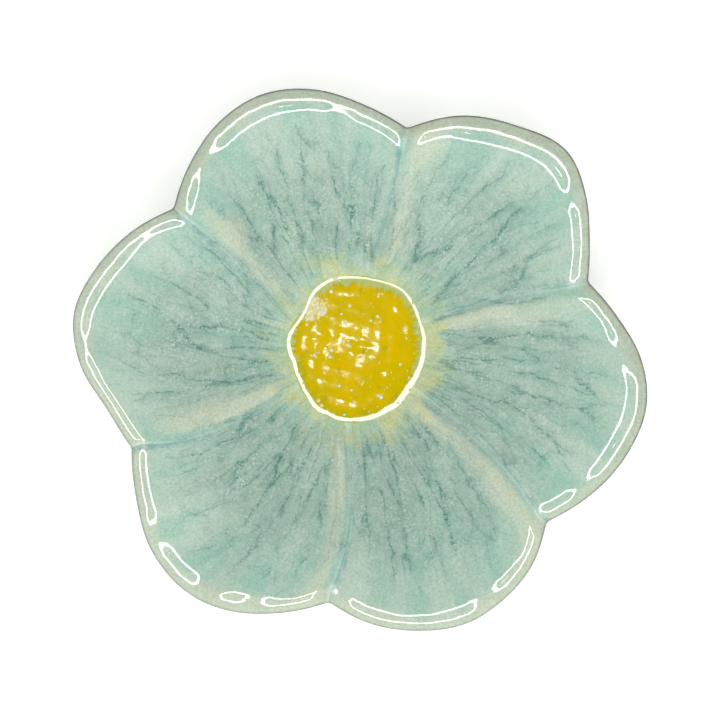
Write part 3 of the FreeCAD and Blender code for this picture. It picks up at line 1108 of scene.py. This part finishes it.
@dataclass(frozen=True)
class PoolGlaze:
    """Thick yellow glaze with olive clouds, a pale toothed edge and one frosted patch."""

    name: str = "yellow_pool_glaze"
    yellow: Colour = rgb(215, 181, 0)
    deep: Colour = rgb(203, 178, 0)
    olive: Colour = rgb(150, 152, 24)
    edge: Colour = rgb(176, 193, 128)
    frost: Colour = rgb(206, 208, 184)
    patch_m: tuple[float, float, float] = (-0.0098, 0.0098, 0.0070)

    def colour(self, g: Graph, place: Socket, inward: Socket) -> Socket:
        """Yellow with olive clouds, under the pale teeth that reach in from the petals' glaze.

        Args:
            g: The material's nodes.
            place: Where on the surface, in metres.
            inward: How far in from the edge of the pool, in millimetres.

        Returns:
            The colour.
        """
        flow = g.attribute("flow", "Vector")
        colour = g.mix(g.cloud(place, 170.0, 3.0, 0.55, 0.35, 0.65), self.yellow, self.deep)
        spots = g.cloud(g.add(place, (0.03, 0.01, 0.0)), 520.0, 1.0, 0.5, 0.63, 0.72)
        colour = g.mix(g.times(spots, 0.40), colour, self.olive)
        ragged = g.plus(inward, g.cloud(place, 300.0, 3.0, 0.6, 0.3, 0.7, (-1.0, 1.0)))
        colour = g.mix(g.times(g.fall(ragged, 3.4, 1.0), 0.45), colour, self.olive)
        teeth = g.cloud(g.scale(flow, (0.55, 0.10, 1.0)), 1.0, 3.0, 0.6, 0.32, 0.68, (0.8, -0.8))
        depth = g.math("SUBTRACT", g.plus(inward, teeth), g.attribute("edge_width"))
        return g.mix(g.times(g.fall(depth, -0.35, 0.35, (1.0, 0.0)), 0.85), colour, self.edge)

    def build(self) -> bpy.types.Material:
        """Makes the material.

        Returns:
            The material.
        """
        material, g, shader, place = new_material(self.name)
        inward = g.times(g.attribute("from_well"), -1.0)

        away = g.node("ShaderNodeVectorMath", {0: place, 1: self.patch_m}, operation="DISTANCE")
        ragged = g.cloud(place, 500.0, 4.0, 0.7, 0.3, 0.7, (-0.0014, 0.0014))
        frost = g.fall(g.plus(away.outputs["Value"], ragged), 0.0019, 0.0031, (1.0, 0.0))
        pitted = g.spread(g.cloud(place, 1250.0, 2.0, 0.6, 0.40, 0.60), 0.25, 0.92)
        g.fill(shader.inputs["Base Color"],
               g.mix(g.times(frost, pitted), self.colour(g, place, inward), self.frost))

        # The surface is slightly lumpy in places and smooth along its edge.
        ripples = g.noise(g.scale(place, (0.6, 1.3, 1.0)), 850.0, 2.0, 0.5)
        lively = g.cloud(g.add(place, (0.0, 0.05, 0.0)), 130.0, 1.0, 0.5, 0.48, 0.62)
        height = g.plus(g.noise(place, 260.0, 2.0, 0.5), g.times(ripples, lively, 0.55))
        height = g.times(height, g.fall(inward, 3.0, 5.2))
        bump = g.node("ShaderNodeBump", {"Height": height, "Strength": 0.085, "Distance": 0.0005})
        g.fill(shader.inputs["Normal"], bump.outputs["Normal"])
        dull = g.times(frost, g.fall(inward, 1.0, 1.8))
        g.fill(shader.inputs["Roughness"], g.spread(dull, 0.07, 0.45))
        make_glassy(shader)
        return material


@dataclass(frozen=True)
class BubbleGlaze:
    """Whitish glassy bubbles that came up through the pool."""

    name: str = "bubble_glaze"
    white: Colour = rgb(214, 214, 190)
    amber: Colour = rgb(208, 192, 92)

    def build(self) -> bpy.types.Material:
        """Makes the material.

        Returns:
            The material.
        """
        material, g, shader, place = new_material(self.name)
        tint = g.cloud(place, 260.0, 2.0, 0.5, 0.38, 0.62)
        g.fill(shader.inputs["Base Color"], g.mix(tint, self.white, self.amber))
        g.fill(shader.inputs["Roughness"], g.spread(tint, 0.10, 0.22))
        shader.inputs["IOR"].default_value = 1.6
        return material


@dataclass(frozen=True)
class BareClay:
    """Unglazed pale stoneware with fine sand, dark specks and smoothing marks."""

    name: str = "bare_stoneware"
    pale: Colour = rgb(222, 212, 192)
    warm: Colour = rgb(204, 188, 162)
    speck: Colour = rgb(120, 100, 82)

    def build(self) -> bpy.types.Material:
        """Makes the material.

        Returns:
            The material.
        """
        material, g, shader, place = new_material(self.name)
        colour = g.mix(g.cloud(place, 90.0, 4.0, 0.6, 0.35, 0.65), self.pale, self.warm)
        sand = g.node("ShaderNodeTexVoronoi", {"Vector": place, "Scale": 900.0}).outputs["Distance"]
        specks = g.times(g.fall(sand, 0.10, 0.22, (1.0, 0.0)),
                         g.cloud(place, 300.0, 1.0, 0.5, 0.56, 0.62))
        g.fill(shader.inputs["Base Color"], g.mix(g.times(specks, 0.8), colour, self.speck))
        tooth = g.plus(g.noise(place, 1500.0, 3.0, 0.7), g.times(sand, 0.6))
        bump = g.node("ShaderNodeBump", {"Height": tooth, "Strength": 0.5, "Distance": 0.0002})
        g.fill(shader.inputs["Normal"], bump.outputs["Normal"])
        rough = g.fall(g.noise(place, 240.0, 2.0, 0.5), 0.3, 0.7, (0.72, 0.92), "LINEAR")
        g.fill(shader.inputs["Roughness"], rough)
        return material


# ------------------------------------------------------------------ geometry nodes

@dataclass(frozen=True)
class Scatter:
    """Small flattened grains spread over a surface by a geometry-nodes group."""

    name: str
    radius_m: float
    flatness: float
    density: float
    smallest: float
    seed: int

    def tree(self, material: bpy.types.Material) -> bpy.types.NodeTree:
        """Builds the group: points on the faces, a grain on each, realised, with its material.

        Args:
            material: What the grains are made of.

        Returns:
            The group.
        """
        tree = bpy.data.node_groups.new(self.name, "GeometryNodeTree")
        sockets = (("Geometry", "Geometry"), ("Density", "Float"), ("Radius", "Float"),
                   ("Smallest", "Float"), ("Seed", "Int"))
        for key, kind in sockets:
            tree.interface.new_socket(key, in_out="INPUT", socket_type="NodeSocket" + kind)
        tree.interface.new_socket("Geometry", in_out="OUTPUT", socket_type="NodeSocketGeometry")
        g = Graph(tree)
        given = tree.nodes.new("NodeGroupInput").outputs
        # Grains crowd where a soft cloud is thick.
        cloud = g.node("ShaderNodeTexNoise", {"Scale": 160.0, "Detail": 1.0}).outputs["Fac"]
        crowd = g.node("ShaderNodeMapRange", {"Value": cloud, "From Min": 0.42, "From Max": 0.62})
        points = g.node("GeometryNodeDistributePointsOnFaces",
                        {"Mesh": given["Geometry"], "Seed": given["Seed"],
                         "Density": g.times(given["Density"], crowd.outputs["Result"])}).outputs
        grain = g.node("GeometryNodeMeshIcoSphere", {"Radius": given["Radius"], "Subdivisions": 3})
        flat = g.node("GeometryNodeTransform", {"Geometry": grain.outputs["Mesh"],
                                                "Scale": (1.0, 1.0, self.flatness)})
        rounded = g.node("GeometryNodeSetShadeSmooth", {"Geometry": flat.outputs["Geometry"]})
        chance = g.node("FunctionNodeRandomValue", {"Min": 0.0, "Max": 1.0, "Seed": given["Seed"]},
                        data_type="FLOAT")
        # A cube makes most grains small and a few large.
        share = next(s for s in chance.outputs if s.type == "VALUE")
        size = g.plus(g.math("POWER", share, 3.0), given["Smallest"])
        placed = g.node("GeometryNodeInstanceOnPoints",
                        {"Points": points["Points"], "Instance": rounded.outputs["Geometry"],
                         "Rotation": points["Rotation"], "Scale": size})
        real = g.node("GeometryNodeRealizeInstances", {"Geometry": placed.outputs["Instances"]})
        dressed = g.node("GeometryNodeSetMaterial", {"Geometry": real.outputs["Geometry"],
                                                     "Material": material})
        g.fill(tree.nodes.new("NodeGroupOutput").inputs["Geometry"], dressed.outputs["Geometry"])
        return tree

    def make(self, surface: bpy.types.Object, material: bpy.types.Material) -> bpy.types.Object:
        """Scatters over a copy of a surface.

        Args:
            surface: The object whose faces carry the grains.
            material: What the grains are made of.

        Returns:
            The grains as a plain mesh object.
        """
        carrier = link_object(self.name + "_carrier", surface.data.copy())
        modifier = carrier.modifiers.new("scatter", "NODES")
        modifier.node_group = self.tree(material)
        values = {"Density": self.density, "Radius": self.radius_m, "Smallest": self.smallest,
                  "Seed": self.seed}
        for item in modifier.node_group.interface.items_tree:
            if item.in_out == "INPUT" and item.name in values:
                modifier[item.identifier] = values[item.name]
        carrier.update_tag()
        bpy.context.view_layer.update()
        graph = bpy.context.evaluated_depsgraph_get()
        mesh = bpy.data.meshes.new_from_object(carrier.evaluated_get(graph))
        carrier.modifiers.remove(modifier)
        bpy.data.objects.remove(carrier)
        return link_object(self.name, mesh)


# ------------------------------------------------------------------ sub-assemblies

@dataclass
class Petals:
    """The six clay slabs and the coats of glaze on them."""

    bowl: Bowl
    clay: bpy.types.Material
    glaze: bpy.types.Material
    glaze_columns: int = 230
    glaze_rows: int = 250
    clay_columns: int = 70
    clay_rows: int = 60
    clearance: float = 0.02

    def coat(self, index: int) -> bpy.types.Object:
        """The glaze of one petal: over the top and the rim, and under the bowl to the glaze stop.

        Args:
            index: Number of the petal.

        Returns:
            The coat.
        """
        bowl, sheets = self.bowl, PetalSheets(self.bowl, index, self.glaze_columns)
        sides, few = [], np.linspace(0.0, 1.0, 9)
        for rise, turn, depth in ((edged(self.glaze_rows, 0.4), np.linspace(0.0, 1.0, 29), 0.0),
                                  (few, few, bowl.sizes.coat)):
            sides.append(sheets.stack(sheets.rows(bowl.upper, rise, depth),
                                      sheets.rows(bowl.roll, turn[1:], depth),
                                      sheets.rows(bowl.under, turn[1:], depth)))
        return sheets.close("glaze_" + bowl.petals[index].name + "_coat", *sides)

    def slab(self, index: int) -> bpy.types.Object:
        """The clay of one petal, with its top just under the glaze.

        Args:
            index: Number of the petal.

        Returns:
            The slab.
        """
        bowl, sheets = self.bowl, PetalSheets(self.bowl, index, self.clay_columns)
        depth = bowl.sizes.coat + self.clearance
        over = sheets.stack(sheets.rows(bowl.upper, edged(self.clay_rows, 0.3), depth),
                            sheets.rows(bowl.roll, np.linspace(0.1, 1.0, 10), depth))
        below = sheets.rows(bowl.under, np.linspace(1.0, 0.03, 24), depth)
        return sheets.close("clay_" + bowl.petals[index].name + "_slab", over,
                            sheets.stack(self.root(sheets, below), below))

    def root(self, sheets: PetalSheets, below: Rows) -> Rows:
        """The band of clay under the bowl from the base disc out to the glaze stop.

        Args:
            sheets: The petal's sheets.
            below: The rows of its underside, from the glaze stop out.

        Returns:
            The rows of the band.
        """
        sizes = self.bowl.sizes
        share = np.linspace(0.0, 1.0, 10)[:-1, None]
        edge = {key: value[0][None, :] for key, value in below.items()}
        radius = sizes.root_radius + (sizes.stop_radius - sizes.root_radius) * share + 0 * edge["x"]
        start, _ = self.bowl.angle(sheets.index, sheets.u[None, :], np.zeros((1, len(sheets.u))))
        end = np.degrees(np.arctan2(edge["y"], edge["x"]))
        end = start + (end - start + 180.0) % 360.0 - 180.0
        angle = np.radians(start + (end - start) * share)
        band = {key: value + 0 * radius for key, value in edge.items()}
        band.update(x=radius * np.cos(angle), y=radius * np.sin(angle), radius=radius,
                    z=sizes.root_height + (edge["z"] - sizes.root_height) * share)
        return band

    def build(self) -> list[bpy.types.Object]:
        """Makes all twelve pieces, hides the CAD nodes they stand in for, and hangs them on the
        root body.

        Returns:
            The pieces.
        """
        made = []
        for index, petal in enumerate(self.bowl.petals):
            for piece, node, slot, material in (
                    (self.slab(index), "petal_" + petal.name, Slot.CLAY, self.clay),
                    (self.coat(index), "glaze_" + petal.name, Slot.GLAZE, self.glaze)):
                piece.data.materials.append(material)
                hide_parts(node)
                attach(piece, "root")
                made.append(piece)
        return made


@dataclass
class Pool:
    """The pool of yellow glaze and the bubbles in it. Lengths are in millimetres."""

    bowl: Bowl
    glaze: bpy.types.Material
    bubble: bpy.types.Material
    around: int = 360
    rings: int = 110
    hollow: float = 0.42
    calm_edge: float = 3.0
    bubbles: Scatter = Scatter("pool_bubbles", radius_m=0.00050, flatness=0.45, density=4.2e5,
                               smallest=0.18, seed=7)

    def edge(self) -> tuple[np.ndarray, Rows]:
        """The bowl's section all round the edge of the well.

        Returns:
            The angles in degrees, and at each the radius, slope and spread of the edge.
        """
        keys = ("root", "well", "inner", "outer", "slope")
        u = np.linspace(0.0, 1.0, 200, endpoint=False)
        parts = [self.bowl.section(index, u) for index in range(len(self.bowl.petals))]
        known = {key: np.concatenate([part[key] for part in parts]) for key in keys}
        degrees = np.arange(self.around) * 360.0 / self.around
        order = np.argsort(known["root"] % 360.0)
        return degrees, {key: np.interp(degrees, (known["root"] % 360.0)[order], known[key][order],
                                        period=360.0) for key in keys[1:]}

    def height(self, at: Rows, radius: np.ndarray, x: np.ndarray,
               y: np.ndarray) -> np.ndarray:
        """Height of the surface: a shallow dish whose edge climbs to meet the petals.

        Args:
            at: The section at the edge of the well.
            radius: How far from the middle.
            x: Place to the right.
            y: Place away from the viewer.

        Returns:
            The height.
        """
        q = radius - at["well"]
        lift = (np.tan(at["slope"]) * np.clip(q + at["inner"], 0, None) ** 2
                / (2 * (at["inner"] + at["outer"])))
        # The dish steepens steadily outwards, and levels off only where the edge starts to climb.
        bend = at["well"] - at["inner"]
        steep = 2 * self.hollow / (bend * at["well"])
        hollow = steep * np.where(radius < bend, (bend ** 2 - radius ** 2 + bend * at["inner"]) / 2,
                                  bend * q ** 2 / (2 * at["inner"]))
        return (self.bowl.sizes.pool_height + lift - hollow
                + self.swell(x, y) * smooth(-q / self.calm_edge))

    def surface(self) -> bpy.types.Object:
        """The pool as a closed disc.

        Returns:
            The pool, with the attributes that its glaze reads.
        """
        degrees, at = self.edge()
        share = (np.arange(1, self.rings + 1) / self.rings)[:, None]
        radius = at["well"] * share
        angle = np.radians(degrees)
        x, y = radius * np.cos(angle), radius * np.sin(angle)
        z = self.height(at, radius, x, y)
        floor = self.bowl.sizes.root_height + self.bowl.sizes.base_thickness
        top = np.stack([x.ravel(), y.ravel(), z.ravel()], axis=1)
        base = np.stack([x[-1], y[-1], 0 * x[-1] + floor], axis=1)
        points = np.concatenate([top, base, [[0, 0, z[0].mean()], [0, 0, floor]]])
        hub, pit = len(points) - 2, len(points) - 1
        inner = np.arange(self.around)
        last, under = (self.rings - 1) * self.around + inner, len(top) + inner
        wall = np.stack([last, np.roll(last, -1), np.roll(under, -1), under], axis=1)
        quads = np.concatenate([grid_quads(self.rings, self.around, 0, wrap=True), wall])
        fans = np.concatenate([
            np.stack([np.full(self.around, hub), np.roll(inner, -1), inner], axis=1),
            np.stack([np.full(self.around, pit), under, np.roll(under, -1)], axis=1)])
        made = make_mesh("centre_glaze_pool", points, quads, fans)
        # The pale teeth reach furthest in at the top, less at the right and the left.
        wide = 0.85 + sum(reach * bell(np.sin((angle - middle) / 2) / width)
                          for reach, middle, width in ((1.15, 1.45, 0.42), (0.85, 0.0, 0.3),
                                                       (0.45, 3.1, 0.3)))
        extra = np.zeros(len(points) - len(top))
        add_attribute(made, "from_well", np.concatenate([(radius - at["well"]).ravel(), extra]))
        add_attribute(made, "edge_width", np.concatenate([np.tile(wide, self.rings), extra]))
        flow = np.stack([np.tile(degrees, self.rings), radius.ravel(), 0 * radius.ravel()], axis=1)
        add_attribute(made, "flow", np.concatenate([flow, np.zeros((len(extra), 3))]))
        return made

    @staticmethod
    def swell(x: np.ndarray, y: np.ndarray) -> np.ndarray:
        """Slow humps and dents in the surface of the pool."""
        waves = 0.010 * np.sin(1.3 * x + 0.8 * y) * np.sin(1.1 * y - 0.7 * x + 1.0)
        return waves + sum(rise * bell(np.hypot((x - east) / wide, (y - north) / deep))
                           for rise, east, wide, north, deep in POOL_HUMPS)

    def build(self) -> list[bpy.types.Object]:
        """Makes the pool and its bubbles.

        Returns:
            The two pieces.
        """
        pool = self.surface()
        pool.data.materials.append(self.glaze)
        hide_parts("centre_glaze")
        pieces = [pool, self.bubbles.make(pool, self.bubble)]
        for piece in pieces:
            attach(piece, "root")
        return pieces


@dataclass
class Foot:
    """The foot ring, its turning marks and the sand that stands out of it, and the base disc.

    Lengths are in millimetres.
    """

    sizes: Sizes
    clay: bpy.types.Material
    around: int = 256
    width: float = 5.0
    bevel: float = 0.8
    mark_depth: float = 0.03
    marks_per_mm: float = 7.0
    sand: Scatter = Scatter("foot_sand", radius_m=0.00022, flatness=0.6, density=9.0e4,
                            smallest=0.25, seed=3)

    def profile(self) -> np.ndarray:
        """The foot's section, rounded by short steps.

        Returns:
            Its corners as (radius, height).
        """
        _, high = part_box("foot_ring")
        outer, top = high[0] / MM, high[2] / MM
        inner = outer - self.width
        root_radius, root_height = self.sizes.root_radius, self.sizes.root_height
        climb = (top - root_height) / (outer - root_radius)
        quarter = np.linspace(0, math.pi / 2, 7)
        b = self.bevel
        foot_out = [(outer - b + b * math.sin(a), b - b * math.cos(a)) for a in quarter]
        foot_in = [(inner + b - b * math.cos(a), b - b * math.sin(a)) for a in quarter]
        wall = [(outer, z) for z in np.linspace(b, top, 16)[1:]]
        ceiling = [(r, root_height + climb * (r - root_radius))
                   for r in np.linspace(outer, inner, 6)[1:]]
        back = [(inner, z) for z in np.linspace(ceiling[-1][1], b, 12)[1:-1]]
        return np.array(foot_out + wall + ceiling + back + foot_in)

    def ring(self) -> bpy.types.Object:
        """The foot ring as a closed turned mesh with fine turning marks on its walls.

        Returns:
            The ring.
        """
        profile = self.profile()
        first = np.arange(self.around)
        angle = first * 2 * math.pi / self.around
        radius, height = (profile[:, k][:, None] + 0 * angle for k in (0, 1))
        marks = (self.mark_depth * np.sin(self.marks_per_mm * height + 0.6 * np.sin(angle))
                 * smooth(height / 1.2))
        radius = radius - np.abs(marks) * np.sign(radius - radius.mean())
        points = np.stack([radius * np.cos(angle), radius * np.sin(angle), height], axis=-1)
        last = (len(profile) - 1) * self.around + first
        seam = np.stack([last, np.roll(last, -1), np.roll(first, -1), first], axis=1)
        quads = np.concatenate([grid_quads(len(profile), self.around, 0, wrap=True), seam])
        return make_mesh("foot_ring_turned", points.reshape(-1, 3), quads,
                         np.zeros((0, 3), dtype=int))

    def build(self) -> list[bpy.types.Object]:
        """Makes the foot and its sand, and dresses the base disc.

        Returns:
            The two new pieces.
        """
        ring = self.ring()
        ring.data.materials.append(self.clay)
        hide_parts("foot_ring")
        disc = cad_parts["base_disc"]
        disc.data.materials.clear()
        disc.data.materials.append(self.clay)
        sand = self.sand.make(ring, self.clay)
        for vertex in sand.data.vertices:
            vertex.co.z = max(vertex.co.z, 0.0)
        for piece in (ring, sand):
            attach(piece, "root")
        return [ring, sand]


# ------------------------------------------------------------------ studio

@dataclass
class Studio:
    """A pale floor, a ring lamp round the lens, a soft fill and the camera."""

    target_mm: tuple[float, float, float] = (1.1, -1.6, 21.9)
    distance_m: float = 1.2
    lean_degrees: tuple[float, float] = (0.8, 2.0)
    width_mm: float = 162.8
    sensor_mm: float = 36.0
    ring_height_m: float = 1.8
    ring_degrees: tuple[float, float] = (19.0, 25.8)
    ring_shift_m: tuple[float, float] = (-0.05, -0.14)
    ring_sides: int = 128
    ring_strength: float = 9.2
    strip_m: tuple[float, float, float, float] = (-0.035, -0.075, 0.035, -0.045)
    strip_strength: float = 22.0
    side_place_m: tuple[float, float, float] = (0.45, -1.35, 1.40)
    side_width_m: float = 0.9
    side_watts: float = 9.0
    floor_half_m: float = 4.0
    fill: float = 0.42

    def camera(self) -> None:
        """Looks almost straight down, with the frame as wide as the dish and its margin."""
        data = bpy.data.cameras.new("camera")
        data.sensor_width = self.sensor_mm
        data.lens = self.sensor_mm * self.distance_m / (self.width_mm * MM)
        data.dof.use_dof = False
        data.clip_start = 0.01
        made = link_object("camera", data)
        east, north = (math.radians(a) for a in self.lean_degrees)
        back = Vector((math.tan(east), math.tan(north), 1.0)).normalized()
        right = Vector((0, 1, 0)).cross(back).normalized()
        place = Vector(self.target_mm) * MM + back * self.distance_m
        turn = Matrix((right, back.cross(right), back)).transposed().to_4x4()
        made.matrix_world = Matrix.Translation(place) @ turn
        bpy.context.scene.camera = made

    @staticmethod
    def glow(name: str, points: np.ndarray, faces: np.ndarray, strength: float) -> None:
        """A flat glowing lamp, hidden from the camera.

        Args:
            name: Name of the lamp.
            points: Its corners in metres.
            faces: Corner numbers of its faces.
            strength: How bright it is.
        """
        mesh = bpy.data.meshes.new(name)
        mesh.from_pydata(points.tolist(), [], faces.tolist())
        made = link_object(name, mesh)
        made.visible_camera = False
        material = bpy.data.materials.new(name)
        material.use_nodes = True
        material.node_tree.nodes.clear()
        g = Graph(material.node_tree)
        light = g.node("ShaderNodeEmission", {"Color": (1.0, 1.0, 0.98, 1.0), "Strength": strength})
        g.node("ShaderNodeOutputMaterial", {"Surface": light.outputs[0]})
        mesh.materials.append(material)

    def lamps(self) -> None:
        """The ring lamp, and a small strip beside the lens that glints in the pool."""
        height, (east, north) = self.ring_height_m, self.ring_shift_m
        radii = (height * math.tan(math.radians(a)) for a in self.ring_degrees)
        angle = np.arange(self.ring_sides) * 2 * math.pi / self.ring_sides
        ring = np.concatenate([np.stack([east + r * np.cos(angle), north + r * np.sin(angle),
                                         height + 0 * angle], axis=1) for r in radii])
        faces = grid_quads(2, self.ring_sides, 0, wrap=True)
        self.glow("ring_lamp", ring, faces, self.ring_strength)
        left, near, right, far = self.strip_m
        strip = np.array([(left, near, height), (right, near, height), (right, far, height),
                          (left, far, height)])
        self.glow("strip_lamp", strip, np.array([[0, 1, 2, 3]]), self.strip_strength)

    def side_light(self) -> None:
        """A soft light from the near side, too dim to show in the gloss."""
        light = bpy.data.lights.new("side_light", "AREA")
        light.shape, light.size, light.energy = "DISK", self.side_width_m, self.side_watts
        made = link_object("side_light", light)
        made.location = self.side_place_m
        made.rotation_euler = Vector(self.side_place_m).to_track_quat("Z", "Y").to_euler()
        made.visible_glossy = False

    def floor(self) -> None:
        """A wide plain floor that doesn't show in the gloss."""
        half = self.floor_half_m
        mesh = bpy.data.meshes.new("floor")
        corners = [(-half, -half, 0), (half, -half, 0), (half, half, 0), (-half, half, 0)]
        mesh.from_pydata(corners, [], [(0, 1, 2, 3)])
        made = link_object("floor", mesh)
        material = bpy.data.materials.new("floor_white")
        material.use_nodes = True
        shader = material.node_tree.nodes["Principled BSDF"]
        for key, value in (("Base Color", (0.93, 0.93, 0.93, 1.0)), ("Roughness", 0.9),
                           ("Specular IOR Level", 0.0), ("Emission Color", (1.0, 1.0, 1.0, 1.0)),
                           ("Emission Strength", 0.30)):
            shader.inputs[key].default_value = value
        mesh.materials.append(material)
        made.visible_glossy = False

    def surroundings(self) -> None:
        """Light from the horizon and little from overhead, so little of it shows in the glaze."""
        world = bpy.data.worlds.new("studio")
        world.use_nodes = True
        background = world.node_tree.nodes["Background"]
        background.inputs["Color"].default_value = (1.0, 1.0, 1.0, 1.0)
        g = Graph(world.node_tree)
        way = g.node("ShaderNodeTexCoord", {}).outputs["Generated"]
        up = g.node("ShaderNodeSeparateXYZ", {"Vector": way}).outputs["Z"]
        g.fill(background.inputs["Strength"],
               g.times(g.fall(up, 0.55, 0.85, (self.fill, 0.0)), g.fall(up, -0.1, 0.2, (0.3, 1.0))))
        bpy.context.scene.world = world
        bpy.context.scene.view_settings.view_transform = "Standard"

    def build(self) -> None:
        """Sets up everything that isn't part of the object."""
        self.surroundings()
        self.floor()
        self.lamps()
        self.side_light()
        self.camera()


def main() -> None:
    """Builds the pieces in order, then the studio."""
    logging.basicConfig(level=logging.INFO, format="%(name)s: %(message)s")
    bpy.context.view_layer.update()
    sizes = Sizes()
    bowl = Bowl(sizes, PETALS)
    clay = BareClay().build()
    pieces = Petals(bowl, clay, PetalGlaze(vein_group(), grain_group()).build()).build()
    pieces += Pool(bowl, PoolGlaze().build(), BubbleGlaze().build()).build()
    pieces += Foot(sizes, clay).build()
    for piece in pieces:
        LOG.info("%s: %d faces", piece.name, len(piece.data.polygons))
    Studio().build()


if __name__ == "__main__":
    main()
